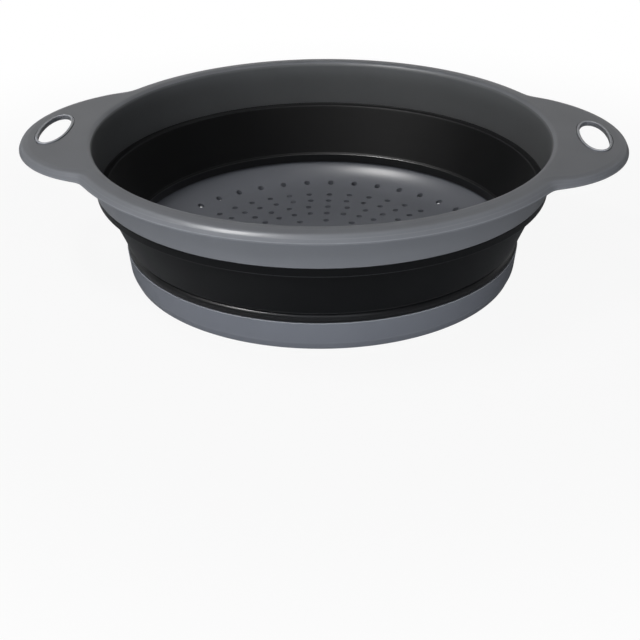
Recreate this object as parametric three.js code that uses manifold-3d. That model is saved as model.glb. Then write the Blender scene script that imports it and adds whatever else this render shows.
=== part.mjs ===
// A collapsible colander: a rigid rim frame with two handles, a soft wall in three zones, and a rigid
// perforated base cup. The rim frame is pressed down over the base cup to fold it flat.
// Lengths are millimetres. The origin is the centre of the foot, +X points along the handles, +Z is up.
import * as THREE from "three";
import { mergeVertices } from "three/addons/utils/BufferGeometryUtils.js";
import Module from "manifold-3d";

const wasm = await Module();
wasm.setup();

// Heights, from the table up
const baseHeight = 18.3;
const lowerFoldHeight = 5.6;
const bandHeight = 30.3;
const upperFoldHeight = 5.3;
const skirtHeight = 25.8;
const seamGap = 0.3;

// Base cup
const baseDraft = 1.4;
const kneeHeight = 4.8;
const kneeInset = 2;
const baseWall = 2.2;
const floorRise = 3;
const floorWall = 2.2;
const dishWidth = 21.6;
const dishRound = 25;

// Drain holes: how many each ring holds, and where the rings lie on the base's radius
const drainHoleRadius = 2.1;
const drainRingHoles = [8, 16, 16, 32, 32, 40, 40, 40];
const drainRingShares = [0.124, 0.249, 0.37, 0.467, 0.555, 0.644, 0.732, 0.877];

// Soft wall
const slideClearance = 0.3;
const bandWallBottom = 1.2;
const bandWallTop = 1.8;
const bandFlare = 10.25;
const lowerFoldWall = 3.2;
const lowerFoldBulge = 0.4;
const upperFoldWall = 1.6;
const upperFoldInset = 0.4;
const upperFoldTaper = 0.8;
const ledgeWidth = 4;
const ledgeWall = 1.4;

// Rim frame
const mouthRadius = 141.4;
const mouthRound = 3.6;
const frameWall = 2.4;
const skirtTaper = 2.2;
const flangeWidth = 13.9;
const flangeWall = 2.2;
const flangeFallShare = 0.06;
const lipDrop = 5;
const lipWall = 2.2;
const lipRound = 2.6;

// Handles, each a part of an ellipse that grows out of the lip
const handleCentreOffset = 29.1;
const handleReach = 32.7;
const handleHalfWidth = 80.4;
const handleJunctionRound = 2.5;

// Handle slots and the bead around each
const slotInset = 11.8;
const slotWidth = 17.4;
const slotLength = 49.2;
const slotOutlinePower = 2.1;
const beadWidth = 1.4;
const beadHeight = 0.7;
const cutOverrun = 2;

// Facets
const turnedSteps = 72;
const frameSteps = 120;
const roundSteps = 4;
const dishSteps = 4;
const slotSteps = 32;
const drainHoleSides = 6;

// Levels and radii that the driving sizes give
const lowerFoldBottom = baseHeight + seamGap;
const bandBottom = lowerFoldBottom + lowerFoldHeight + seamGap;
const upperFoldBottom = bandBottom + bandHeight + seamGap;
const skirtBottom = upperFoldBottom + upperFoldHeight + seamGap;
const rimTop = skirtBottom + skirtHeight;
const skirtInnerBottom = mouthRadius - skirtTaper;
const skirtOuterBottom = skirtInnerBottom + frameWall;
const collarTop = skirtOuterBottom - upperFoldInset;
const collarBottom = collarTop - upperFoldTaper;
const bandOuterTop = collarBottom - ledgeWidth;
const bandInnerTop = bandOuterTop - bandWallTop;
const bandOuterBottom = bandOuterTop - bandFlare;
const bandInnerBottom = bandOuterBottom - bandWallBottom;
const baseRadius = bandInnerBottom - slideClearance;
const kneeRadius = baseRadius - baseDraft;
const footRadius = kneeRadius - kneeInset;
const floorFlatRadius = baseRadius - baseWall - dishWidth;
const lipRadius = mouthRadius + flangeWidth;
const handleCentre = mouthRadius - handleCentreOffset;
const handleTip = lipRadius + handleReach;
const slotCentre = handleTip - slotInset - slotWidth / 2;

const rimPlastic = { color: 0x6c6e76, roughness: 0.45, metalness: 0 };
const softWallRubber = { color: 0x18191b, roughness: 0.6, metalness: 0 };

// A closed mesh as a solid: shared vertices are merged, and triangles of no width are left out
function solidOf(geometry) {
  const bare = new THREE.BufferGeometry();
  bare.setAttribute("position", geometry.getAttribute("position").clone());
  if (geometry.index) bare.setIndex(geometry.index.clone());
  const merged = mergeVertices(bare);
  const corners = merged.index.array;
  const kept = [];
  for (let i = 0; i < corners.length; i += 3) {
    const [a, b, c] = [corners[i], corners[i + 1], corners[i + 2]];
    if (a !== b && b !== c && c !== a) kept.push(a, b, c);
  }
  const mesh = new wasm.Mesh({
    numProp: 3,
    vertProperties: merged.getAttribute("position").array,
    triVerts: new Uint32Array(kept),
  });
  return new wasm.Manifold(mesh);
}

function geometryOf(solid) {
  const mesh = solid.getMesh();
  const geometry = new THREE.BufferGeometry();
  geometry.setAttribute("position", new THREE.BufferAttribute(mesh.vertProperties, 3));
  geometry.setIndex(new THREE.BufferAttribute(mesh.triVerts, 1));
  geometry.computeVertexNormals();
  return geometry;
}

// A ring turned about Z from a closed outline of [radius, height] points, given anticlockwise
function turned(outline, steps = turnedSteps) {
  const points = [...outline, outline[0]].map(([radius, height]) => new THREE.Vector2(radius, height));
  return new THREE.LatheGeometry(points, steps).rotateX(Math.PI / 2);
}

// Points of an arc from one angle to another, in degrees, as [radius, height]
function arcPoints(centreRadius, centreHeight, radius, fromAngle, toAngle, steps) {
  const points = [];
  for (let step = 0; step <= steps; step += 1) {
    const angle = THREE.MathUtils.degToRad(fromAngle + ((toAngle - fromAngle) * step) / steps);
    points.push([centreRadius + radius * Math.cos(angle), centreHeight + radius * Math.sin(angle)]);
  }
  return points;
}

// Closed rings of points, all with the same number, joined into one ring-shaped surface
function ringSurface(sections) {
  const count = sections[0].length;
  const positions = [];
  const index = [];
  sections.forEach((section) => section.forEach((point) => positions.push(...point)));
  for (let i = 0; i < sections.length; i += 1) {
    const next = (i + 1) % sections.length;
    for (let j = 0; j < count; j += 1) {
      const k = (j + 1) % count;
      const [a, b] = [i * count + j, i * count + k];
      const [c, d] = [next * count + j, next * count + k];
      index.push(a, c, b, b, c, d);
    }
  }
  const geometry = new THREE.BufferGeometry();
  geometry.setAttribute("position", new THREE.Float32BufferAttribute(positions, 3));
  geometry.setIndex(index);
  return geometry;
}

// Radius of the handle's ellipse in a direction measured from the handle's middle, or zero where it has none
function handleEllipseRadius(angle) {
  const length = handleTip - handleCentre;
  const [c, s] = [Math.cos(angle) / length, Math.sin(angle) / handleHalfWidth];
  const square = c * c + s * s;
  const half = (handleCentre / length) * c;
  const rest = (handleCentre / length) ** 2 - 1;
  const root = half * half - square * rest;
  return c > 0 && root > 0 ? (half + Math.sqrt(root)) / square : 0;
}

// Outer radius of the rim frame in a direction: the lip, or a handle that flows out of it
function frameOuterRadius(angle) {
  const fromHandle = Math.atan2(Math.abs(Math.sin(angle)), Math.abs(Math.cos(angle)));
  const reach = handleEllipseRadius(fromHandle) - lipRadius;
  const rise = (reach + Math.hypot(reach, handleJunctionRound)) / 2;
  return lipRadius + rise;
}

// Height of the flange's upper face, which falls gently outwards from the mouth
function flangeTopAt(radius) {
  return rimTop - flangeFallShare * (radius - mouthRadius - mouthRound);
}

// Cross-section of the rim frame out to a given outer radius
function frameOutline(outerRadius) {
  const lipTop = flangeTopAt(outerRadius);
  const lipBottom = lipTop - lipDrop;
  const lipInner = outerRadius - lipWall;
  const skirtOuterTop = mouthRadius + frameWall;
  return [
    [skirtInnerBottom, skirtBottom],
    [skirtOuterBottom, skirtBottom],
    [skirtOuterTop, flangeTopAt(skirtOuterTop) - flangeWall],
    [lipInner, flangeTopAt(lipInner) - flangeWall],
    [lipInner, lipBottom],
    [outerRadius, lipBottom],
    ...arcPoints(outerRadius - lipRound, lipTop - lipRound, lipRound, 0, 90, roundSteps),
    ...arcPoints(mouthRadius + mouthRound, rimTop - mouthRound, mouthRound, 90, 180, roundSteps),
  ];
}

// Outline of a handle slot grown by a margin, with X across it and Y along it
function slotShape(margin) {
  const shape = new THREE.Shape();
  const [halfWidth, halfLength] = [slotWidth / 2 + margin, slotLength / 2 + margin];
  for (let step = 0; step < slotSteps; step += 1) {
    const angle = (2 * Math.PI * step) / slotSteps;
    const [c, s] = [Math.cos(angle), Math.sin(angle)];
    const x = halfWidth * Math.sign(c) * Math.abs(c) ** (2 / slotOutlinePower);
    const y = halfLength * Math.sign(s) * Math.abs(s) ** (2 / slotOutlinePower);
    if (step === 0) shape.moveTo(x, y);
    else shape.lineTo(x, y);
  }
  return shape;
}

// A slot-shaped block that stands square to the sloping handle, from under its lower face up to a level
function slotBlock(margin, above, side) {
  const below = flangeWall + lipDrop + cutOverrun;
  const block = new THREE.ExtrudeGeometry(slotShape(margin), { depth: below + above, bevelEnabled: false });
  block.translate(0, 0, -below);
  block.rotateY(Math.atan(flangeFallShare));
  block.translate(slotCentre, 0, flangeTopAt(slotCentre));
  if (side < 0) block.rotateZ(Math.PI);
  return solidOf(block);
}

// The bead is the part of a slot-shaped block that lies above the handle's lower face
function beadBlock(side) {
  const outline = slotShape(beadWidth);
  const bead = new THREE.ExtrudeGeometry(outline, { depth: flangeWall + beadHeight, bevelEnabled: false });
  bead.translate(0, 0, -flangeWall);
  bead.rotateY(Math.atan(flangeFallShare));
  bead.translate(slotCentre, 0, flangeTopAt(slotCentre));
  if (side < 0) bead.rotateZ(Math.PI);
  return solidOf(bead);
}

function rimFrame() {
  const sections = [];
  for (let step = 0; step < frameSteps; step += 1) {
    const angle = (2 * Math.PI * step) / frameSteps;
    const [c, s] = [Math.cos(angle), Math.sin(angle)];
    const outline = frameOutline(frameOuterRadius(angle));
    sections.push(outline.map(([radius, height]) => [radius * c, radius * s, height]));
  }
  let frame = solidOf(ringSurface(sections));
  for (const side of [1, -1]) {
    frame = frame.add(beadBlock(side));
    frame = frame.subtract(slotBlock(0, beadHeight + cutOverrun, side));
  }
  return geometryOf(frame);
}

// The thin zone under the rim frame: a collar below the skirt, and a ledge in to the top of the band
function upperFold() {
  const top = upperFoldBottom + upperFoldHeight;
  return turned([
    [bandInnerTop, upperFoldBottom],
    [collarBottom, upperFoldBottom],
    [collarTop, top],
    [collarTop - upperFoldWall, top],
    [collarBottom - upperFoldWall, upperFoldBottom + ledgeWall],
    [bandInnerTop, upperFoldBottom + ledgeWall],
  ]);
}

// The thick zone between the folds, wide enough to pass over the base cup
function middleBand() {
  return turned([
    [bandInnerBottom, bandBottom],
    [bandOuterBottom, bandBottom],
    [bandOuterTop, bandBottom + bandHeight],
    [bandInnerTop, bandBottom + bandHeight],
  ]);
}

// The rounded zone that folds over the base cup's upper edge
function lowerFold() {
  const outer = bandOuterBottom + lowerFoldBulge;
  const inner = outer - lowerFoldWall;
  const top = lowerFoldBottom + lowerFoldHeight;
  return turned([
    [inner, lowerFoldBottom],
    [bandOuterBottom, lowerFoldBottom],
    [outer, lowerFoldBottom + lowerFoldBulge * 2],
    [outer, top - lowerFoldBulge * 2],
    [bandOuterBottom, top],
    [inner, top],
  ]);
}

// Angle in degrees whose sine is given
function degreesOf(sine) {
  return THREE.MathUtils.radToDeg(Math.asin(sine));
}

// Cross-section of the base cup from the axis out: the floor, the dish that rises to the wall, and the
// foot, which is the outer wall carried down to the table
function baseOutline() {
  const floorTop = floorRise + floorWall;
  const dishCentre = floorTop + dishRound;
  const innerWallRadius = baseRadius - baseWall;
  const footInner = footRadius - baseWall;
  const underRound = dishRound + floorWall;
  const upperTurn = degreesOf(dishWidth / dishRound);
  const lowerTurn = degreesOf((footInner - floorFlatRadius) / underRound);
  return [
    [0, floorRise],
    ...arcPoints(floorFlatRadius, dishCentre, underRound, -90, lowerTurn - 90, dishSteps),
    [footInner, 0],
    [footRadius, 0],
    [kneeRadius, kneeHeight],
    [baseRadius, baseHeight],
    [innerWallRadius, baseHeight],
    ...arcPoints(floorFlatRadius, dishCentre, dishRound, upperTurn - 90, -90, dishSteps),
    [0, floorTop],
  ];
}

function drainHole(radius, angle) {
  const depth = baseHeight + cutOverrun;
  const hole = new THREE.CylinderGeometry(drainHoleRadius, drainHoleRadius, depth, drainHoleSides);
  hole.rotateX(Math.PI / 2);
  hole.rotateZ(angle);
  hole.translate(radius * Math.cos(angle), radius * Math.sin(angle), baseHeight / 2);
  return solidOf(hole);
}

function baseCup() {
  const profile = baseOutline().map(([radius, height]) => new THREE.Vector2(radius, height));
  const body = solidOf(new THREE.LatheGeometry(profile, turnedSteps).rotateX(Math.PI / 2));
  const holes = [];
  drainRingHoles.forEach((count, ring) => {
    for (let hole = 0; hole < count; hole += 1) {
      holes.push(drainHole(drainRingShares[ring] * baseRadius, (2 * Math.PI * hole) / count));
    }
  });
  return geometryOf(body.subtract(wasm.Manifold.union(holes)));
}

function named(name, geometry, finish) {
  const mesh = new THREE.Mesh(geometry, new THREE.MeshStandardMaterial(finish));
  mesh.name = name;
  return mesh;
}

const colander = new THREE.Group();
colander.add(named("rim_frame", rimFrame(), rimPlastic));
colander.add(named("upper_fold", upperFold(), softWallRubber));
colander.add(named("middle_band", middleBand(), softWallRubber));
colander.add(named("lower_fold", lowerFold(), softWallRubber));
colander.add(named("base_cup", baseCup(), rimPlastic));

export default colander;
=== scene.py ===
"""A collapsible colander: a grey rim with handles, a soft black wall and a grey drained base."""

import logging
from collections.abc import Mapping, Sequence
from dataclasses import dataclass
from enum import Enum
from math import asin, atan, atan2, ceil, copysign, cos, hypot, pi, radians, sin, sqrt, tan

import bmesh
import bpy
from bpy.types import ID, Material, Node, NodeSocket, NodeTree, Object
from mathutils import Matrix, Vector


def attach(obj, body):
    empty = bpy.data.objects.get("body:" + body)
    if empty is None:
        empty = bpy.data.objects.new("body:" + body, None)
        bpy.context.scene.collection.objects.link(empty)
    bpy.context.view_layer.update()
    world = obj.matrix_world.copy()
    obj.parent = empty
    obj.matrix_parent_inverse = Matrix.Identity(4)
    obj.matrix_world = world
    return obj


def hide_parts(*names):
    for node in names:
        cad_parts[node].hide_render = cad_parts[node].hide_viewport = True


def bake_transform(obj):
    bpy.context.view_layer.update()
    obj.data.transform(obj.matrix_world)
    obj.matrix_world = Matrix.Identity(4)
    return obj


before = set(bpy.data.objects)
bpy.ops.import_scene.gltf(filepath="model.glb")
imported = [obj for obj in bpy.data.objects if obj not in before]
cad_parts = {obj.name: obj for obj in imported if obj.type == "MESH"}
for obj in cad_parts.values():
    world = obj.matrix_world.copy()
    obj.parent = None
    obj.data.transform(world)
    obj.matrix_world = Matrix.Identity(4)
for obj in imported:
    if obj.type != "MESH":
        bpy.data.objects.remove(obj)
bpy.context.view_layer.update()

log = logging.getLogger("colander")

MM = 0.001
# Points of a new mesh that lie closer than this, in metres, are one point.
TOUCH = 1e-7
# Corners that a cut leaves closer than this, in metres, are joined.
WELD = 2e-6
# Faces that meet at more than this, in degrees, keep a crease.
CREASE = 34.0
# The share of a side that the roundings at its two ends may use up.
FREE_SHARE = 0.98
# The vertex layer that marks rounded edges, in full up to a rounding of CRISP_ROUND millimetres;
# the materials paint a paler highlight along it.
EDGE = "edge_share"
CRISP_ROUND = 0.7
# The span that nearly all values of a noise texture lie in.
NOISE_SPAN = (0.3, 0.7)
# How much finer the moulded skin's tones are than the waves of its gloss.
TONE_FINENESS = 2.3

MarkedPoint = tuple[Vector, float]
Triple = tuple[float, float, float]
Span = tuple[float, float]


class Slot(Enum):
    """Material slots of the record."""

    RIM = "rim_plastic"
    WALL = "soft_wall"
    BASE = "base_plastic"


class Body(Enum):
    """Bodies that a piece rides on."""

    BASE = "base"
    RIM = "rim"


class End(Enum):
    """The ends of the rim that carry handles, by their direction from the axis, in radians."""

    RIGHT = 0.0
    LEFT = pi


@dataclass(frozen=True)
class Corner:
    """A corner of a turned outline, in millimetres, with the radius that rounds it."""

    radius: float
    height: float
    rounding: float = 0.0

    def towards(self, other: "Corner", share: float) -> "Corner":
        """A corner that lies a share of the way to another."""
        pairs = zip(vars(self).values(), vars(other).values())
        return Corner(*(mine + (theirs - mine) * share for mine, theirs in pairs))


@dataclass(frozen=True)
class OutlinePoint:
    """A point of a finished outline, and how far it lies on a rounded edge, from 0 to 1."""

    radius: float
    height: float
    edge: float = 0.0


Outline = list[OutlinePoint]


def rounded(corners: Sequence[Corner], closed: bool = True, steps: int = 5) -> Outline:
    """Rounds each corner of an outline with an arc.

    Args:
        corners: the corners in order.
        closed: whether the last corner joins the first.
        steps: how many stretches each arc has.

    Returns:
        The outline's points in order.
    """
    points: Outline = []
    count = len(corners)
    for i, corner in enumerate(corners):
        here = Vector((corner.radius, corner.height))
        if corner.rounding <= 0 or (not closed and i in (0, count - 1)):
            points.append(OutlinePoint(here.x, here.y))
            continue
        before, after = corners[i - 1], corners[(i + 1) % count]
        back = Vector((before.radius, before.height)) - here
        ahead = Vector((after.radius, after.height)) - here
        half = back.angle(ahead) / 2
        room = [
            FREE_SHARE * side.length * corner.rounding / (corner.rounding + other.rounding)
            for side, other in ((back, before), (ahead, after))
        ]
        reach = min(corner.rounding / tan(half), *room)
        size = reach * tan(half)
        back, ahead = back.normalized(), ahead.normalized()
        centre = here + (back + ahead).normalized() * size / sin(half)
        start, end = here + back * reach - centre, here + ahead * reach - centre
        turn = atan2(start.x * end.y - start.y * end.x, start.dot(end))
        # How strongly the painted edge highlight marks this rounding: in full when it is crisp.
        highlight_weight = min(1.0, CRISP_ROUND / corner.rounding)
        for step in range(steps + 1):
            share = step / steps
            c, s = cos(turn * share), sin(turn * share)
            spot = centre + Vector((start.x * c - start.y * s, start.x * s + start.y * c))
            points.append(OutlinePoint(spot.x, spot.y, highlight_weight * sin(pi * share)))
    return points


def refined(points: Outline, longest: float, closed: bool = True) -> Outline:
    """Splits the long stretches of an outline.

    Args:
        points: the outline's points in order.
        longest: the greatest length that a stretch keeps, in millimetres.
        closed: whether the last point joins the first.

    Returns:
        The outline with more points on its long stretches.
    """
    fine: Outline = []
    last = len(points) if closed else len(points) - 1
    for i in range(last):
        a, b = points[i], points[(i + 1) % len(points)]
        across, up = b.radius - a.radius, b.height - a.height
        parts = max(1, ceil(hypot(across, up) / longest))
        fine.append(a)
        for part in range(1, parts):
            t = part / parts
            fine.append(OutlinePoint(a.radius + across * t, a.height + up * t))
    if not closed:
        fine.append(points[-1])
    return fine


def shown(name: str, data: ID) -> Object:
    """Adds an object to the scene that shows a mesh, a light or a camera.

    Args:
        name: the new object's name.
        data: what it shows.

    Returns:
        The new object.
    """
    made = bpy.data.objects.new(name, data)
    bpy.context.scene.collection.objects.link(made)
    return made


def as_object(name: str, bm: bmesh.types.BMesh) -> Object:
    """Puts a finished mesh into the scene.

    Args:
        name: the new object's name.
        bm: the mesh, in metres, which is freed.

    Returns:
        The new object.
    """
    mesh = bpy.data.meshes.new(name)
    bm.to_mesh(mesh)
    bm.free()
    return shown(name, mesh)


def ringed(
    name: str, rings: Sequence[Sequence[Vector]], edges: Sequence[float], closed: bool = True
) -> Object:
    """Joins rings of points into one closed surface.

    Args:
        name: the piece's name.
        rings: one list of points for each direction round an axis, in millimetres.
        edges: how far each point of a ring lies on a rounded edge.
        closed: whether each ring's last point joins its first.

    Returns:
        The new object, in metres.
    """
    bm = bmesh.new()
    layer = bm.verts.layers.float.new(EDGE)
    grid = [[bm.verts.new(point * MM) for point in ring] for ring in rings]
    for row in grid:
        for vertex, edge in zip(row, edges):
            vertex[layer] = edge
    count = len(edges)
    for i, row in enumerate(grid):
        beyond = grid[(i + 1) % len(grid)]
        for j in range(count if closed else count - 1):
            k = (j + 1) % count
            bm.faces.new((row[j], beyond[j], beyond[k], row[k]))
    bmesh.ops.remove_doubles(bm, verts=bm.verts[:], dist=TOUCH)
    bmesh.ops.recalc_face_normals(bm, faces=bm.faces[:])
    return as_object(name, bm)


def turned(name: str, points: Outline, steps: int, closed: bool = True) -> Object:
    """Turns an outline round the Z axis.

    Args:
        name: the piece's name.
        points: the outline, in millimetres.
        steps: how many directions the turn has.
        closed: whether the outline's last point joins its first.

    Returns:
        The new object, in metres.
    """
    rings = []
    for step in range(steps):
        angle = 2 * pi * step / steps
        c, s = cos(angle), sin(angle)
        rings.append([Vector((p.radius * c, p.radius * s, p.height)) for p in points])
    return ringed(name, rings, [p.edge for p in points], closed)


def cut_away(piece: Object, cutter: Object) -> None:
    """Cuts one closed object out of another and removes the cutter.

    Args:
        piece: the object that is cut.
        cutter: the object whose space is taken away.
    """
    modifier = piece.modifiers.new("cut", "BOOLEAN")
    modifier.operation = "DIFFERENCE"
    modifier.solver = "EXACT"
    modifier.object = cutter
    bpy.context.view_layer.update()
    depsgraph = bpy.context.evaluated_depsgraph_get()
    result = bpy.data.meshes.new_from_object(piece.evaluated_get(depsgraph))
    piece.modifiers.remove(modifier)
    old, piece.data = piece.data, result
    result.name = piece.name
    bpy.data.meshes.remove(old)
    bpy.data.objects.remove(cutter)


def weld(piece: Object) -> None:
    """Joins the corners that a cut leaves less than WELD apart.

    Args:
        piece: the piece that was cut.
    """
    bm = bmesh.new()
    bm.from_mesh(piece.data)
    bmesh.ops.remove_doubles(bm, verts=bm.verts, dist=WELD)
    bm.to_mesh(piece.data)
    bm.free()


def smooth(piece: Object, crease: float = CREASE) -> Object:
    """Shades a piece smooth.

    Args:
        piece: the piece.
        crease: faces that meet at more than this, in degrees, keep their edge.

    Returns:
        The same piece.
    """
    piece.data.shade_smooth()
    piece.data.set_sharp_from_angle(angle=radians(crease))
    return piece


def coat(piece: Object, *finishes: Material) -> None:
    """Gives a piece its materials, in place of any that it has.

    Args:
        piece: the piece.
        *finishes: its materials, in the order of their slots.
    """
    piece.data.materials.clear()
    for finish in finishes:
        piece.data.materials.append(finish)


@dataclass(frozen=True)
class FlangeLine:
    """The rim's upper face: where it starts and how it falls outwards."""

    rim_top: float = 86.5
    mouth_radius: float = 141.4
    mouth_round: float = 3.6
    fall_share: float = 0.06

    def height(self, radius: float) -> float:
        """Height of the upper face at a radius."""
        return self.rim_top - self.fall_share * (radius - self.mouth_radius - self.mouth_round)

    def point(self, flat: Vector, above: float) -> Vector:
        """The point that lies a height above the upper face at a flat place."""
        return Vector((flat.x, flat.y, self.height(flat.length) + above))


@dataclass(frozen=True)
class EdgeShape:
    """How the flange turns down to its lip: a gentle fall, a shoulder and the bevel's middle."""

    fall: Corner
    shoulder: Corner
    middle: Corner

    def blended(self, other: "EdgeShape", share: float) -> "EdgeShape":
        """A shape that lies a share of the way to another."""
        pairs = zip(vars(self).values(), vars(other).values())
        return EdgeShape(*(mine.towards(theirs, share) for mine, theirs in pairs))


@dataclass(frozen=True)
class RimFrame:
    """The rigid rim: inner wall, flange, bevelled lip, skirt, and a slotted handle at each end.

    All sizes are millimetres. A run is how far a section's line is followed past its last
    rounding, to steer it.
    """

    line: FlangeLine = FlangeLine()
    mouth_run: float = 10.8
    wall_bottom: float = 57.0
    inner_bottom_radius: float = 139.0
    inner_bottom_round: float = 0.4
    tongue_radius: float = 139.9
    tongue_round: float = 0.3

    skirt_bottom: float = 60.75
    skirt_bottom_radius: float = 141.6
    skirt_bottom_round: float = 0.6
    skirt_top_radius: float = 143.8
    skirt_top_round: float = 1.4
    skirt_run: float = 6.0
    skirt_run_drop: float = 0.6

    flange_wall: float = 2.2
    plain_edge: EdgeShape = EdgeShape(
        Corner(8.0, 0, 12.0), Corner(3.2, -0.4, 5.0), Corner(1.4, -2.15, 3.0)
    )
    handle_edge: EdgeShape = EdgeShape(
        Corner(5.4, 0, 8.0), Corner(1.9, -0.7, 3.6), Corner(0.8, -2.4, 2.5)
    )
    edge_run: float = 9.5
    bevel_drop: float = 4.1
    bevel_round: float = 1.2
    lip_radius: float = 155.3
    lip_drop: float = 5.1
    lip_round: float = 0.45
    lip_wall: float = 1.9
    lip_wall_round: float = 0.3
    lip_root: Corner = Corner(2.3, -4.8, 0.4)
    web_width: float = 2.2
    web_round: float = 2.0

    handle_centre: float = 112.3
    handle_tip: float = 188.0
    handle_half_width: float = 80.4
    handle_start: float = 0.5
    handle_blend: float = 10.0
    junction_round: float = 2.5

    slot_centre: float = 167.5
    slot_width: float = 17.4
    slot_length: float = 49.2
    slot_power: float = 2.1
    slot_cut: Span = (-9.0, 6.0)
    bead_width: float = 1.5
    bead_height: float = 0.75
    bead_round: float = 0.6
    bead_depth: float = 2.5
    bead_foot_round: float = 0.4
    key_top: float = -0.9
    key_bottom: float = -1.7
    key_reach: float = 0.6
    groove_width: float = 0.6

    matt_shade_reach: float = 0.5
    matt_shade_facing: float = 0.7
    directions: int = 480
    web_steps: int = 8
    slot_steps: int = 96
    longest: float = 6.0
    bead_longest: float = 2.0

    def outer_radius(self, angle: float) -> float:
        """Outer radius in a direction: the lip, or the handle that flows out of it.

        Args:
            angle: the direction, in radians.

        Returns:
            The radius.
        """
        fold = atan2(abs(sin(angle)), abs(cos(angle)))
        length = self.handle_tip - self.handle_centre
        offset = self.handle_centre / length
        c, s = cos(fold) / length, sin(fold) / self.handle_half_width
        square = c * c + s * s
        half = offset * c
        root = half * half - square * (offset**2 - 1)
        ellipse = (half + sqrt(root)) / square if root > 0 else 0.0
        reach = ellipse - self.lip_radius
        return self.lip_radius + (reach + hypot(reach, self.junction_round)) / 2

    def handle_share(self, radius: float) -> float:
        """How far the outer edge has left the plain lip for a handle.

        Args:
            radius: the edge's distance from the axis.

        Returns:
            0 on the plain lip, rising to 1 on a handle.
        """
        past = (radius - self.lip_radius - self.handle_start) / self.handle_blend
        share = min(max(past, 0.0), 1.0)
        return share * share * (3 - 2 * share)

    def rim_point(self, angle: float) -> tuple[Vector, Vector]:
        """A point of the outer edge in a direction, and the edge's outward normal there.

        Args:
            angle: the direction, in radians.

        Returns:
            The point and the normal.
        """
        step = 1e-4
        here, ahead = (
            Vector((cos(a), sin(a))) * self.outer_radius(a)
            for a in (angle - step, angle + step)
        )
        along = (ahead - here).normalized()
        return (here + ahead) / 2, Vector((along.y, -along.x))

    def mouth_side(self) -> Outline:
        """The inner wall from its lower edge up to the start of the flange.

        Returns:
            The outline's points.
        """
        line = self.line
        run = line.mouth_radius + self.mouth_run
        corners = [
            Corner(self.tongue_radius, self.skirt_bottom),
            Corner(self.tongue_radius, self.wall_bottom, self.tongue_round),
            Corner(self.inner_bottom_radius, self.wall_bottom, self.inner_bottom_round),
            Corner(line.mouth_radius, line.height(line.mouth_radius), line.mouth_round),
            Corner(run, line.height(run)),
        ]
        return rounded(corners, closed=False, steps=8)[1:-1]

    def lip_side(self, handle: float) -> Outline:
        """The lip's cross-section, broad and gentle round the bowl and tighter on a handle.

        Args:
            handle: 0 on the plain lip and 1 on a handle.

        Returns:
            Distance in from the outer edge, and height above the flange's line.
        """
        edge = self.plain_edge.blended(self.handle_edge, handle)
        corners = [
            Corner(self.edge_run, 0),
            edge.fall,
            edge.shoulder,
            edge.middle,
            Corner(0, -self.bevel_drop, self.bevel_round),
            Corner(0, -self.lip_drop, self.lip_round),
            Corner(self.lip_wall, -self.lip_drop, self.lip_wall_round),
            self.lip_root,
            Corner(edge.shoulder.radius + self.web_width, -self.flange_wall, self.web_round),
            Corner(self.edge_run, -self.flange_wall),
        ]
        return rounded(corners, closed=False)[1:-1]

    def skirt_side(self) -> Outline:
        """The outside of the skirt from under the flange down to its lower edge.

        Returns:
            The outline's points.
        """
        under = self.line.height(self.skirt_top_radius) - self.flange_wall
        corners = [
            Corner(self.skirt_top_radius + self.skirt_run, under - self.skirt_run_drop),
            Corner(self.skirt_top_radius, under, self.skirt_top_round),
            Corner(self.skirt_bottom_radius, self.skirt_bottom, self.skirt_bottom_round),
            Corner(self.tongue_radius, self.skirt_bottom),
        ]
        return rounded(corners, closed=False)[1:]

    def web(self, start: Vector, end: Vector, drop: float) -> list[MarkedPoint]:
        """Points between two flat places, a drop below the flange's line."""
        shares = [part / self.web_steps for part in range(1, self.web_steps)]
        return [(self.line.point(start.lerp(end, share), -drop), 0.0) for share in shares]

    def section(self, angle: float, mouth: Outline, skirt: Outline) -> list[MarkedPoint]:
        """The rim's whole cross-section in a direction.

        Args:
            angle: the direction, in radians.
            mouth: the inner wall's outline.
            skirt: the skirt's outline.

        Returns:
            The points in order, each with how far it lies on a rounded edge.
        """
        ray = Vector((cos(angle), sin(angle)))
        rim, normal = self.rim_point(angle)
        lip = self.lip_side(self.handle_share(rim.length))
        spots = [rim - normal * p.radius for p in lip]
        return [
            *((Vector((*(ray * p.radius), p.height)), p.edge) for p in mouth),
            *self.web(ray * mouth[-1].radius, spots[0], 0.0),
            *((self.line.point(spot, p.height), p.edge) for spot, p in zip(spots, lip)),
            *self.web(spots[-1], ray * skirt[0].radius, self.flange_wall),
            *((Vector((*(ray * p.radius), p.height)), p.edge) for p in skirt),
        ]

    def shell(self) -> Object:
        """The rim as one closed shell, before its slots are cut.

        Returns:
            The new object.
        """
        mouth = refined(self.mouth_side(), self.longest, closed=False)
        skirt = refined(self.skirt_side(), self.longest, closed=False)
        sections = [
            self.section(2 * pi * step / self.directions, mouth, skirt)
            for step in range(self.directions)
        ]
        rings = [[point for point, _ in section] for section in sections]
        # The last direction lies on a handle, and its marks serve them all.
        return ringed("rim_shell", rings, [edge for _, edge in sections[-1]])

    def slot_path(self, margin: float) -> list[tuple[Vector, Vector]]:
        """Points of a slot's outline, in the slot's own plane.

        Args:
            margin: how far the outline is grown.

        Returns:
            The points in order, each with its outward normal.
        """
        path = []
        wide, long = self.slot_width / 2, self.slot_length / 2
        power, slope = 2 / self.slot_power, self.slot_power - 1
        for step in range(self.slot_steps):
            angle = 2 * pi * (step + 0.5) / self.slot_steps
            c, s = cos(angle), sin(angle)
            across = wide * copysign(abs(c) ** power, c)
            along = long * copysign(abs(s) ** power, s)
            spot = Vector((across, along))
            lean = copysign((abs(spot.x) / wide) ** slope / wide, c)
            tilt = copysign((abs(spot.y) / long) ** slope / long, s)
            normal = Vector((lean, tilt)).normalized()
            path.append((spot + normal * margin, normal))
        return path

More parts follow.
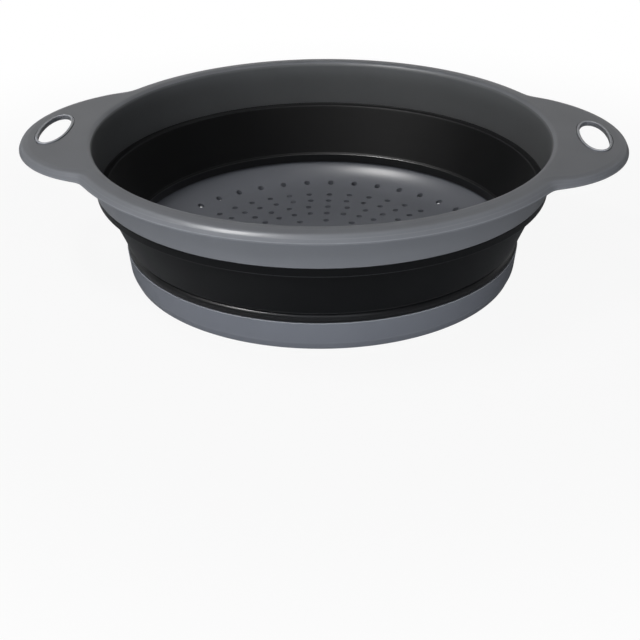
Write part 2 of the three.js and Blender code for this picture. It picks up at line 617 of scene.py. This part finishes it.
    def slot_place(self, end: End) -> Matrix:
        """Where a slot's own plane lies, on the sloping handle.

        Args:
            end: the end of the rim.

        Returns:
            The plane's place, in millimetres.
        """
        height = self.line.height(self.slot_centre)
        slope = Matrix.Rotation(atan(self.line.fall_share), 4, "Y")
        place = Matrix.Translation((self.slot_centre, 0, height)) @ slope
        return Matrix.Rotation(end.value, 4, "Z") @ place

    def slot_cutter(self, end: End) -> Object:
        """A closed block that takes the slot and its bead's seat out of the handle.

        Args:
            end: the end of the rim.

        Returns:
            The new object.
        """
        place = self.slot_place(end)
        path = self.slot_path(self.bead_width + self.groove_width)
        bm = bmesh.new()
        low, high = (
            [bm.verts.new(place @ Vector((*spot, z)) * MM) for spot, _ in path]
            for z in self.slot_cut
        )
        bm.faces.new(low[::-1])
        bm.faces.new(high)
        for i in range(len(path)):
            k = (i + 1) % len(path)
            bm.faces.new((low[i], low[k], high[k], high[i]))
        return as_object("slot_cutter", bm)

    def bead_profile(self) -> Outline:
        """Cross-section of the bead: a sleeve with a rounded top, keyed into the handle.

        Returns:
            Distance out from the opening, and height above the handle.
        """
        outer = self.bead_width
        key = outer + self.groove_width + self.key_reach
        corners = [
            Corner(0.0, -self.bead_depth, self.bead_foot_round),
            Corner(0.0, self.bead_height, self.bead_round),
            Corner(outer, self.bead_height, self.bead_round),
            Corner(outer, self.key_top),
            Corner(key, self.key_top),
            Corner(key, self.key_bottom),
            Corner(outer, self.key_bottom),
            Corner(outer, -self.bead_depth, self.bead_foot_round),
        ]
        return refined(rounded(corners, steps=4), self.bead_longest)

    def bead(self, end: End) -> Object:
        """The bead that runs round the slot at one end of the rim.

        Args:
            end: the end of the rim.

        Returns:
            The new object.
        """
        place, profile = self.slot_place(end), self.bead_profile()
        rings = [
            [place @ Vector((*(spot + normal * p.radius), p.height)) for p in profile]
            for spot, normal in self.slot_path(0)
        ]
        name = f"slot_bead_{end.name.lower()}"
        return smooth(ringed(name, rings, [p.edge for p in profile]))

    def build(self) -> list[Object]:
        """Builds the rim shell and the two slot beads.

        Returns:
            The pieces, the shell first.
        """
        shell = self.shell()
        for end in End:
            cut_away(shell, self.slot_cutter(end))
        return [smooth(shell), *(self.bead(end) for end in End)]

    def dress(self, shell: Object, outside: Material, inside: Material) -> None:
        """Gives the shell its satin outside and its matt inner wall, painted darker as shade.

        Args:
            shell: the rim shell.
            outside: the finish of the flange, the lip, the handles and the skirt.
            inside: the finish of the wall that faces the bowl, matt and darkened as painted shade.
        """
        coat(shell, outside, inside)
        # Faces of the inner wall take the darker finish, painted as shade.
        limit = self.line.mouth_radius + self.matt_shade_reach
        for face in shell.data.polygons:
            flat = face.center.xy
            faces_bowl = face.normal.xy.dot(flat.normalized()) < -self.matt_shade_facing
            face.material_index = int(flat.length / MM < limit and faces_bowl)


@dataclass(frozen=True)
class SoftWall:
    """The soft wall: a fold over the base, a thick band, and a collar with a ledge under the rim.

    All sizes are millimetres, and the fold's tilts are degrees up from level.
    """

    base_top: float = 18.35
    fold_radius: float = 124.35
    fold_middle: float = 20.0
    fold_round: float = 3.6
    fold_tilts: range = range(-24, 61, 12)
    fold_wall: float = 3.0
    fold_foot_inset: float = 0.6
    fold_foot_round: float = 0.3
    groove_depth: float = 1.9
    groove_bottom_drop: float = 0.45
    groove_top_gap: float = 0.3
    crisp_round: float = 0.1

    band_bottom: float = 24.5
    band_bottom_radius: float = 124.2
    band_top: float = 54.5
    band_top_radius: float = 136.4
    band_wall: float = 1.7
    band_round: float = 0.5
    band_step: float = 0.6
    band_step_round: float = 0.8
    ridge: float = 0.35
    ridge_height: float = 53.2
    ridge_foot: float = 0.5
    ridge_foot_round: float = 0.2
    ridge_crest: float = 0.25
    ridge_crest_round: float = 0.3

    ledge_bottom: float = 55.1
    ledge_bottom_lean: float = 0.3
    ledge_bottom_round: float = 0.4
    ledge_top: float = 56.6
    ledge_top_round: float = 1.0
    collar_bottom_radius: float = 140.4
    collar_bottom_round: float = 0.6
    collar_top: float = 60.7
    collar_top_radius: float = 141.3
    collar_top_round: float = 0.3
    tongue_radius: float = 139.95
    tongue_lean: float = 0.9
    tongue_round: float = 0.5

    satin_gap: float = 0.35
    directions: int = 240
    longest: float = 1.4
    crease: float = 50.0
    blend_start: float = 18.6
    blend_end: float = 57.5

    def band_radius(self, height: float) -> float:
        """Outer radius of the flaring band at a height."""
        share = (height - self.band_bottom) / (self.band_top - self.band_bottom)
        return self.band_bottom_radius + (self.band_top_radius - self.band_bottom_radius) * share

    def fold_corners(self) -> list[Corner]:
        """The outside of the lower fold, and the groove above it, up to the band.

        Returns:
            The corners, from the base up.
        """
        roll = []
        for tilt in self.fold_tilts:
            angle = radians(tilt)
            radius = self.fold_radius - self.fold_round * (1 - cos(angle))
            roll.append(Corner(radius, self.fold_middle + self.fold_round * sin(angle)))
        groove = self.fold_radius - self.groove_depth
        groove_bottom = self.fold_middle + self.fold_round - self.groove_bottom_drop
        return [
            Corner(self.fold_radius - self.fold_foot_inset, self.base_top, self.crisp_round),
            *roll,
            Corner(groove, groove_bottom, self.crisp_round),
            Corner(groove, self.band_bottom - self.groove_top_gap, self.crisp_round),
        ]

    def ridge_corners(self) -> list[Corner]:
        """The thin ridge that runs round the band near its top.

        Returns:
            The corners, from below up.
        """
        middle = self.ridge_height
        low, high = middle - self.ridge_foot, middle + self.ridge_foot
        crest = self.band_radius(middle) + self.ridge
        return [
            Corner(self.band_radius(low), low, self.ridge_foot_round),
            Corner(crest, middle - self.ridge_crest, self.ridge_crest_round),
            Corner(crest, middle + self.ridge_crest, self.ridge_crest_round),
            Corner(self.band_radius(high), high, self.ridge_foot_round),
        ]

    def outline(self) -> Outline:
        """The wall's cross-section, up its outside and down its inside.

        Returns:
            The outline's points.
        """
        ledge_lean = self.band_top_radius + self.ledge_bottom_lean
        band_inside = self.band_bottom_radius - self.band_wall
        fold_inside = self.fold_radius - self.fold_wall
        corners = [
            *self.fold_corners(),
            Corner(self.band_bottom_radius, self.band_bottom, self.band_round),
            *self.ridge_corners(),
            Corner(self.band_top_radius, self.band_top, self.band_round),
            Corner(ledge_lean, self.ledge_bottom, self.ledge_bottom_round),
            Corner(self.collar_bottom_radius, self.ledge_bottom, self.collar_bottom_round),
            Corner(self.collar_top_radius, self.collar_top, self.collar_top_round),
            Corner(self.tongue_radius, self.collar_top, self.crisp_round),
            Corner(self.tongue_radius - self.tongue_lean, self.ledge_top, self.tongue_round),
            Corner(self.band_top_radius - self.band_wall, self.ledge_top, self.ledge_top_round),
            Corner(band_inside, self.band_bottom + self.band_step, self.band_step_round),
            Corner(fold_inside, self.band_bottom - self.band_step, self.band_step_round),
            Corner(fold_inside, self.base_top, self.fold_foot_round),
        ]
        return refined(rounded(corners, steps=4), self.longest)

    def build(self) -> Object:
        """Builds the wall as one piece."""
        return smooth(turned("soft_wall", self.outline(), self.directions), self.crease)

    def dress(self, piece: Object, band: Material, fold: Material) -> None:
        """Gives the wall its matt finish, and the lower fold its satin one.

        Args:
            piece: the wall.
            band: the finish of the band, the collar and the ledge.
            fold: the finish of the lower fold.
        """
        coat(piece, band, fold)
        limit = self.band_bottom - self.satin_gap
        for face in piece.data.polygons:
            face.material_index = int(face.center.z / MM < limit)


@dataclass(frozen=True)
class BaseCup:
    """The rigid base: a drafted wall on a foot, and a drained floor that curves up to the wall.

    All sizes are millimetres.
    """

    top: float = 18.3
    top_round: float = 0.5
    radius: float = 124.65
    wall: float = 2.2
    knee: Corner = Corner(123.25, 4.8, 6.0)
    foot_radius: float = 121.25
    foot_inset: float = 0.1
    foot_round: float = 0.45
    foot_inner_round: float = 0.5

    floor_rise: float = 3.0
    floor_wall: float = 2.2
    dish_width: float = 21.6
    dish_round: float = 25.0
    dish_steps: int = 8
    directions: int = 240
    longest: float = 7.0

    hole_radius: float = 2.1
    hole_sides: int = 16
    ring_holes: tuple[int, ...] = (8, 16, 16, 32, 32, 40, 40, 40)
    ring_shares: tuple[float, ...] = (0.124, 0.249, 0.37, 0.467, 0.555, 0.644, 0.732, 0.877)
    drill_middle: float = 9.0
    drill_length: float = 20.0

    def flat_radius(self) -> float:
        """Radius of the floor's flat middle."""
        return self.radius - self.wall - self.dish_width

    def curve(self, size: float, angle: float) -> Corner:
        """A point of the curve that takes the floor up to the wall.

        Args:
            size: the curve's radius, on the floor's upper or lower face.
            angle: how far round the curve the point lies, in radians.

        Returns:
            The point, as a corner without rounding.
        """
        centre = self.floor_rise + self.floor_wall + self.dish_round
        return Corner(self.flat_radius() + size * sin(angle), centre - size * cos(angle))

    def outline(self) -> Outline:
        """Cross-section from the axis under the floor, round the wall and back to the axis.

        Returns:
            The outline's points.
        """
        foot_inside = self.foot_radius - self.wall
        under = self.dish_round + self.floor_wall
        lower = asin((foot_inside - self.flat_radius()) / under)
        upper = asin(self.dish_width / self.dish_round)
        steps = range(self.dish_steps + 1)
        corners = [
            Corner(0, self.floor_rise),
            *(self.curve(under, lower * step / self.dish_steps) for step in steps),
            Corner(foot_inside, 0, self.foot_inner_round),
            Corner(self.foot_radius - self.foot_inset, 0, self.foot_round),
            self.knee,
            Corner(self.radius, self.top, self.top_round),
            Corner(self.radius - self.wall, self.top, self.top_round),
            *(self.curve(self.dish_round, upper * (1 - step / self.dish_steps)) for step in steps),
            Corner(0, self.floor_rise + self.floor_wall),
        ]
        return refined(rounded(corners, closed=False), self.longest, closed=False)

    def drill(self) -> Object:
        """All the drain holes as one cutter of separate closed cylinders.

        Returns:
            The new object.
        """
        bm = bmesh.new()
        for count, share in zip(self.ring_holes, self.ring_shares):
            for hole in range(count):
                angle = 2 * pi * hole / count
                across = share * self.radius * cos(angle)
                along = share * self.radius * sin(angle)
                bmesh.ops.create_cone(
                    bm,
                    cap_ends=True,
                    segments=self.hole_sides,
                    radius1=self.hole_radius * MM,
                    radius2=self.hole_radius * MM,
                    depth=self.drill_length * MM,
                    matrix=Matrix.Translation((across * MM, along * MM, self.drill_middle * MM)),
                )
        return as_object("drill", bm)

    def build(self) -> Object:
        """Builds the base cup with its drain holes.

        Returns:
            The new object.
        """
        piece = turned("base_shell", self.outline(), self.directions, closed=False)
        cut_away(piece, self.drill())
        weld(piece)
        return smooth(piece)

    def dress(self, piece: Object, finish: Material) -> None:
        """Gives the base cup its one finish."""
        coat(piece, finish)


def fill(made: Node, inputs: Mapping[str | int, object]) -> None:
    """Sets sockets of a node, by their names or places."""
    for key, value in inputs.items():
        made.inputs[key].default_value = value


def node(
    tree: NodeTree, kind: str, inputs: Mapping[str | int, object] | None = None, **settings: object
) -> Node:
    """Adds a shader node to a tree.

    Args:
        tree: the tree.
        kind: the node's type, without ShaderNode before it.
        inputs: values of its sockets, by their names or places.
        **settings: values of its properties.

    Returns:
        The new node.
    """
    made = tree.nodes.new("ShaderNode" + kind)
    for key, value in settings.items():
        setattr(made, key, value)
    fill(made, inputs or {})
    return made


def maths(
    tree: NodeTree, operation: str, *sources: NodeSocket, clamp: bool = False
) -> NodeSocket:
    """Works out a value from others.

    Args:
        tree: the tree.
        operation: the Math node's operation.
        *sources: the values' sockets, in the order of the node's own.
        clamp: whether the result is held between 0 and 1.

    Returns:
        The result's socket.
    """
    made = node(tree, "Math", operation=operation, use_clamp=clamp)
    for source, target in zip(sources, made.inputs):
        tree.links.new(source, target)
    return made.outputs[0]


def ranged(
    tree: NodeTree, source: NodeSocket, before: Span, after: Span, ease: str = "LINEAR"
) -> NodeSocket:
    """Maps a value from one range to another, and holds it there.

    Args:
        tree: the tree.
        source: the value's socket.
        before: the range that the value comes in.
        after: the range that it is mapped to.
        ease: the Map Range node's interpolation.

    Returns:
        The mapped value's socket.
    """
    inputs = dict(zip(("From Min", "From Max", "To Min", "To Max"), (*before, *after)))
    made = node(tree, "MapRange", inputs, interpolation_type=ease)
    tree.links.new(source, made.inputs["Value"])
    return made.outputs["Result"]


def mixed(
    tree: NodeTree, share: NodeSocket, shaders: tuple[NodeSocket, NodeSocket], output: str
) -> None:
    """Mixes two shaders into the surface that a tree puts out.

    Args:
        tree: the tree.
        share: how much of the second shader shows, from 0 to 1.
        shaders: the two shaders' sockets.
        output: the name of the tree's output node.
    """
    mix = node(tree, "MixShader")
    for source, target in zip((share, *shaders), mix.inputs):
        tree.links.new(source, target)
    tree.links.new(mix.outputs["Shader"], tree.nodes[output].inputs["Surface"])


def shader_group(
    name: str, inputs: Mapping[str, float], outputs: Sequence[str]
) -> tuple[NodeTree, Node, Node]:
    """Starts a shader group of numbers.

    Args:
        name: the group's name.
        inputs: the name and the usual value of each input.
        outputs: the name of each output.

    Returns:
        The group, its input node and its output node.
    """
    group = bpy.data.node_groups.new(name, "ShaderNodeTree")
    new_socket = group.interface.new_socket
    for key, value in inputs.items():
        socket = new_socket(name=key, in_out="INPUT", socket_type="NodeSocketFloat")
        socket.default_value = value
    for key in outputs:
        new_socket(name=key, in_out="OUTPUT", socket_type="NodeSocketFloat")
    return group, group.nodes.new("NodeGroupInput"), group.nodes.new("NodeGroupOutput")


def moulding_group() -> NodeTree:
    """The skin that a mould leaves: a fine grain, and slow waves in its gloss and tone.

    Returns:
        A shader group with outputs Height, Gloss and Tone.
    """
    group, inside, outside = shader_group(
        "moulded skin", {"Grain Size": 900.0, "Wave Size": 14.0}, ("Height", "Gloss", "Tone")
    )
    link = group.links.new
    place = node(group, "TexCoord")
    finer = node(group, "Math", {1: TONE_FINENESS}, operation="MULTIPLY")
    link(inside.outputs["Wave Size"], finer.inputs[0])
    scales = (inside.outputs["Grain Size"], inside.outputs["Wave Size"], finer.outputs[0])
    details = ({"Detail": 3.0, "Roughness": 0.6}, {"Detail": 2.0}, {"Detail": 4.0})
    for scale, detail, target in zip(scales, details, outside.inputs):
        texture = node(group, "TexNoise", detail)
        link(place.outputs["Object"], texture.inputs["Vector"])
        link(scale, texture.inputs["Scale"])
        link(texture.outputs["Fac"], target)
    return group


def edge_highlight_group() -> NodeTree:
    """Where a paler colour is painted on rounded edges as a highlight.

    Returns:
        A shader group with output Edge, a mask of the rounded edges.
    """
    group, inside, outside = shader_group("painted edge highlights", {"Amount": 1.0}, ("Edge",))
    mark = node(group, "Attribute", attribute_type="GEOMETRY", attribute_name=EDGE)
    amount = inside.outputs["Amount"]
    edge = maths(group, "MULTIPLY", mark.outputs["Fac"], amount, clamp=True)
    group.links.new(edge, outside.inputs["Edge"])
    return group


@dataclass(frozen=True)
class MouldedFinish:
    """A moulded plastic or rubber: its colour, a paler painted highlight on its rounded edges, its
    gloss and its grain, whose depth is in metres.
    """

    name: str
    colour: Triple
    # A paler colour painted on rounded edges as a highlight, and how strongly it shows.
    edge_highlight_colour: Triple
    gloss: Span
    grain_strength: float
    specular: float = 0.22
    edge_highlight_amount: float = 0.8
    grain_size: float = 900.0
    grain_depth: float = 0.0003
    tone_share: float = 0.03
    sheen: float = 0.0
    sheen_roughness: float = 0.4

    def material(self, skin: NodeTree, edges: NodeTree) -> Material:
        """Builds the material.

        Args:
            skin: the moulded skin group.
            edges: the group that masks where the edge highlight is painted.

        Returns:
            The new material.
        """
        made = bpy.data.materials.new(self.name)
        made.use_nodes = True
        tree = made.node_tree
        shader = tree.nodes["Principled BSDF"]
        fill(shader, {"Specular IOR Level": self.specular})
        fill(shader, {"Sheen Weight": self.sheen, "Sheen Roughness": self.sheen_roughness})
        surface = node(tree, "Group", {"Grain Size": self.grain_size}, node_tree=skin)
        edge_highlight_mask = node(tree, "Group", {"Amount": self.edge_highlight_amount}, node_tree=edges)
        tones = (1 - self.tone_share, 1 + self.tone_share)
        tone = ranged(tree, surface.outputs["Tone"], NOISE_SPAN, tones)
        gloss = ranged(tree, surface.outputs["Gloss"], NOISE_SPAN, self.gloss)
        # The paler edge colour is mixed in along rounded edges as a painted highlight.
        colours = {"A": (*self.colour, 1), "B": (*self.edge_highlight_colour, 1)}
        tint = node(tree, "Mix", colours, data_type="RGBA")
        shade = node(tree, "VectorMath", operation="SCALE")
        grain = {"Strength": self.grain_strength, "Distance": self.grain_depth}
        bump = node(tree, "Bump", grain)
        link = tree.links.new
        link(edge_highlight_mask.outputs["Edge"], tint.inputs["Factor"])
        link(tint.outputs["Result"], shade.inputs[0])
        link(tone, shade.inputs["Scale"])
        link(shade.outputs["Vector"], shader.inputs["Base Color"])
        link(gloss, shader.inputs["Roughness"])
        link(surface.outputs["Height"], bump.inputs["Height"])
        link(bump.outputs["Normal"], shader.inputs["Normal"])
        return made


# Paler colours painted on rounded edges as highlights: for grey plastic and for black rubber.
EDGE_HIGHLIGHT_GREY = (0.300, 0.306, 0.322)
EDGE_HIGHLIGHT_BLACK = (0.030, 0.030, 0.032)

GREY_RIM = MouldedFinish(
    name="satin grey polypropylene",
    colour=(0.146, 0.150, 0.159),
    edge_highlight_colour=EDGE_HIGHLIGHT_GREY,
    edge_highlight_amount=0.5,
    gloss=(0.32, 0.37),
    specular=0.13,
    grain_strength=0.10,
)

# The bead is the rim's own plastic, painted paler than the rim as painted light, with a strong
# painted highlight on its rounded crown.
GREY_BEAD_PAINTED_LIGHT = MouldedFinish(
    name="grey bead with painted light",
    colour=(0.190, 0.196, 0.210),
    edge_highlight_colour=(0.400, 0.408, 0.425),
    edge_highlight_amount=0.9,
    gloss=(0.31, 0.35),
    specular=0.32,
    grain_strength=0.06,
    grain_depth=0.0002,
)

# The rim's own plastic inside the bowl: matt, and painted darker than the outside as painted shade.
GREY_INSIDE_PAINTED_SHADE = MouldedFinish(
    name="matt grey polypropylene, painted shade",
    colour=(0.100, 0.103, 0.105),
    edge_highlight_colour=(0.180, 0.184, 0.190),
    edge_highlight_amount=0.5,
    gloss=(0.50, 0.60),
    grain_strength=0.16,
)

GREY_BASE = MouldedFinish(
    name="satin grey base",
    colour=(0.138, 0.144, 0.160),
    edge_highlight_colour=EDGE_HIGHLIGHT_GREY,
    gloss=(0.34, 0.42),
    grain_strength=0.12,
)

BLACK_BAND = MouldedFinish(
    name="matt black rubber",
    colour=(0.0045, 0.0047, 0.0051),
    edge_highlight_colour=EDGE_HIGHLIGHT_BLACK,
    gloss=(0.46, 0.56),
    specular=0.10,
    grain_strength=0.15,
    grain_size=1300.0,
    tone_share=0.08,
    sheen=0.06,
)

BLACK_FOLD = MouldedFinish(
    name="satin black rubber",
    colour=(0.0050, 0.0052, 0.0058),
    edge_highlight_colour=EDGE_HIGHLIGHT_BLACK,
    gloss=(0.30, 0.35),
    specular=0.48,
    grain_strength=0.06,
    grain_size=1100.0,
    tone_share=0.05,
)


class Seen(Enum):
    """How a light shows on the colander: as light, as a highlight, or as both."""

    LIT = "lit"
    MIRRORED = "mirrored"
    BOTH = "both"


WARM = (1.0, 0.99, 0.98)
COOL = (0.92, 0.95, 1.0)
LOW_AIM = (0.0, 0.0, 0.075)


@dataclass(frozen=True)
class Softbox:
    """A rectangular soft light aimed at a point, in metres and watts."""

    name: str
    place: Triple
    width: float
    height: float
    power: float
    aim: Triple = (0.0, 0.0, 0.08)
    tint: Triple = (1.0, 1.0, 1.0)
    seen: Seen = Seen.LIT

    def build(self) -> None:
        """Adds the light."""
        lamp = bpy.data.lights.new(self.name, "AREA")
        lamp.shape = "RECTANGLE"
        lamp.size, lamp.size_y = self.width, self.height
        lamp.energy = self.power
        lamp.color = self.tint
        made = shown(self.name, lamp)
        made.location = self.place
        made.visible_diffuse = self.seen is not Seen.MIRRORED
        made.visible_glossy = self.seen is not Seen.LIT
        way = Vector(self.aim) - Vector(self.place)
        made.rotation_euler = way.to_track_quat("-Z", "Y").to_euler()


@dataclass
class Studio:
    """A pale floor, an even world and soft lights, in metres.

    Reflections see a pale backdrop, brightest low down behind the colander. Its heights and
    depths are shares of a direction's length: it fades out up through mirrored_heights, and
    grows through mirrored_depths from mirrored_ahead to its full light.
    """

    lights: tuple[Softbox, ...] = (
        Softbox("key", (-0.53, -0.26, 1.35), 0.6, 0.2, 7.4, tint=WARM),
        Softbox("glint", (-0.60, -0.47, 1.25), 0.3, 0.4, 52.0, tint=WARM, seen=Seen.MIRRORED),
        Softbox("sheen", (-0.20, -0.90, 0.98), 1.8, 0.25, 3.5, tint=COOL, seen=Seen.BOTH),
        Softbox("front_high", (0.0, -0.95, 1.0), 1.6, 0.3, 3.4, tint=(0.95, 0.97, 1.0)),
        Softbox("front_low", (0.0, -1.45, 0.085), 1.8, 0.14, 16.5, LOW_AIM, (0.90, 0.94, 1.0)),
        Softbox("left_low", (-1.4, -0.35, 0.10), 1.0, 0.14, 5.2, LOW_AIM, COOL),
        Softbox("back_low", (0.0, 1.4, 0.15), 1.4, 0.2, 8.0),
    )
    ambient: float = 0.065
    mirrored_share: float = 0.55
    mirrored_ahead: float = 0.15
    mirrored_heights: Span = (0.5, 0.8)
    mirrored_depths: Span = (0.2, 0.7)
    floor_half: float = 4.0
    floor_drop: float = 0.0002
    floor_colour: float = 0.45
    floor_roughness: float = 0.8
    floor_specular: float = 0.1
    floor_glow: float = 0.92
    shadow_radii: Span = (0.24, 0.52)

    def floor_finish(self) -> Material:
        """The floor's pale finish, which glows to the camera.

        Returns:
            The new material.
        """
        finish = bpy.data.materials.new("pale floor")
        finish.use_nodes = True
        tree = finish.node_tree
        shader = tree.nodes["Principled BSDF"]
        fill(shader, {"Base Color": (self.floor_colour,) * 3 + (1,)})
        fill(shader, {"Roughness": self.floor_roughness, "Specular IOR Level": self.floor_specular})
        place = node(tree, "TexCoord")
        reach = node(tree, "VectorMath", operation="LENGTH")
        tree.links.new(place.outputs["Object"], reach.inputs[0])
        glows = (self.floor_glow, 1.0)
        fade = ranged(tree, reach.outputs["Value"], self.shadow_radii, glows, "SMOOTHSTEP")
        rays = node(tree, "LightPath")
        share = maths(tree, "MULTIPLY", rays.outputs["Is Camera Ray"], fade)
        glow = node(tree, "Emission")
        shaders = (shader.outputs["BSDF"], glow.outputs["Emission"])
        mixed(tree, share, shaders, "Material Output")
        return finish

    def floor(self) -> None:
        """Builds the floor, which is white to the camera and keeps the shadow."""
        bm = bmesh.new()
        bmesh.ops.create_grid(bm, x_segments=2, y_segments=2, size=self.floor_half)
        made = as_object("floor", bm)
        made.location.z = -self.floor_drop
        coat(made, self.floor_finish())

    def world(self) -> None:
        """Sets an even world that is white to the camera, with a pale backdrop in reflections."""
        world = bpy.data.worlds.new("even white")
        bpy.context.scene.world = world
        world.use_nodes = True
        tree = world.node_tree
        light = tree.nodes["Background"]
        fill(light, {"Color": (1, 1, 1, 1), "Strength": self.ambient})
        white = node(tree, "Background", {"Color": (1, 1, 1, 1), "Strength": 1.0})
        way = node(tree, "TexCoord")
        parts = node(tree, "SeparateXYZ")
        tree.links.new(way.outputs["Generated"], parts.inputs[0])
        fading, growing = (self.mirrored_share, 0.0), (self.mirrored_ahead, 1.0)
        low = ranged(tree, parts.outputs["Z"], self.mirrored_heights, fading, "SMOOTHSTEP")
        behind = ranged(tree, parts.outputs["Y"], self.mirrored_depths, growing, "SMOOTHSTEP")
        level = maths(tree, "MULTIPLY", low, behind)
        rays = node(tree, "LightPath")
        glossy, camera = rays.outputs["Is Glossy Ray"], rays.outputs["Is Camera Ray"]
        share = maths(tree, "MULTIPLY_ADD", glossy, level, camera, clamp=True)
        shaders = (light.outputs["Background"], white.outputs["Background"])
        mixed(tree, share, shaders, "World Output")

    def build(self) -> None:
        """Builds the floor, the world and the lights."""
        self.floor()
        self.world()
        for light in self.lights:
            light.build()


@dataclass(frozen=True)
class Viewpoint:
    """The camera, placed in mouth radii from the middle of the mouth and turned in degrees.

    The mouth and the clipping distances are in metres, and the sensor is in millimetres.
    """

    mouth_radius: float = 0.143
    rim_top: float = 0.0865
    distance: float = 5.5
    elevation: float = 28.55
    roll: float = 0.495
    turn: float = 3.5
    across: float = 0.007
    above: float = 0.821
    focal_share: float = 1270 / 640
    sensor_width: float = 36.0
    clipping: Span = (0.05, 50.0)

    def build(self) -> None:
        """Adds the camera and makes it the scene's own."""
        e, r = radians(self.elevation), radians(self.roll)
        ce, se, cr, sr = cos(e), sin(e), cos(r), sin(r)
        right = Vector((cr, -sr * se, -sr * ce))
        up = Vector((sr, cr * se, cr * ce))
        ahead = Vector((0, ce, -se))
        place = -self.across * right - self.above * up - self.distance * ahead
        pose = Matrix((right, up, -ahead)).transposed().to_4x4()
        pose.translation = place * self.mouth_radius
        data = bpy.data.cameras.new("camera")
        data.sensor_width = self.sensor_width
        data.lens = self.focal_share * self.sensor_width
        data.clip_start, data.clip_end = self.clipping
        made = shown("camera", data)
        mouth = Matrix.Translation((0, 0, self.rim_top))
        made.matrix_world = mouth @ Matrix.Rotation(radians(self.turn), 4, "Z") @ pose
        bpy.context.scene.camera = made


@dataclass
class Colander:
    """The whole colander: its sub-assemblies and their finishes."""

    rim: RimFrame = RimFrame()
    wall: SoftWall = SoftWall()
    base: BaseCup = BaseCup()

    def build(self) -> list[Object]:
        """Builds every piece and dresses it, and ties the rim's pieces and the base cup to their
        bodies.

        Returns:
            The pieces.
        """
        skin, edges = moulding_group(), edge_highlight_group()

        shell, *beads = self.rim.build()
        self.rim.dress(shell, GREY_RIM.material(skin, edges), GREY_INSIDE_PAINTED_SHADE.material(skin, edges))
        bead_painted_light = GREY_BEAD_PAINTED_LIGHT.material(skin, edges)
        for bead in beads:
            coat(bead, bead_painted_light)
        for piece in (shell, *beads):
            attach(piece, Body.RIM.value)
        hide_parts("rim_frame")

        wall = self.wall.build()
        self.wall.dress(wall, BLACK_BAND.material(skin, edges), BLACK_FOLD.material(skin, edges))
        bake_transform(wall)
        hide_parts("upper_fold", "middle_band", "lower_fold")

        cup = self.base.build()
        self.base.dress(cup, GREY_BASE.material(skin, edges))
        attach(cup, Body.BASE.value)
        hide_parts("base_cup")
        return [shell, *beads, wall, cup]


def main() -> None:
    """Builds the camera, the colander and the studio."""
    logging.basicConfig(level=logging.INFO, format="%(name)s: %(message)s")
    bpy.context.scene.view_settings.view_transform = "Standard"
    Viewpoint().build()
    for piece in Colander().build():
        log.info("%s: %d faces", piece.name, len(piece.data.polygons))
    Studio().build()


if __name__ == "__main__":
    main()
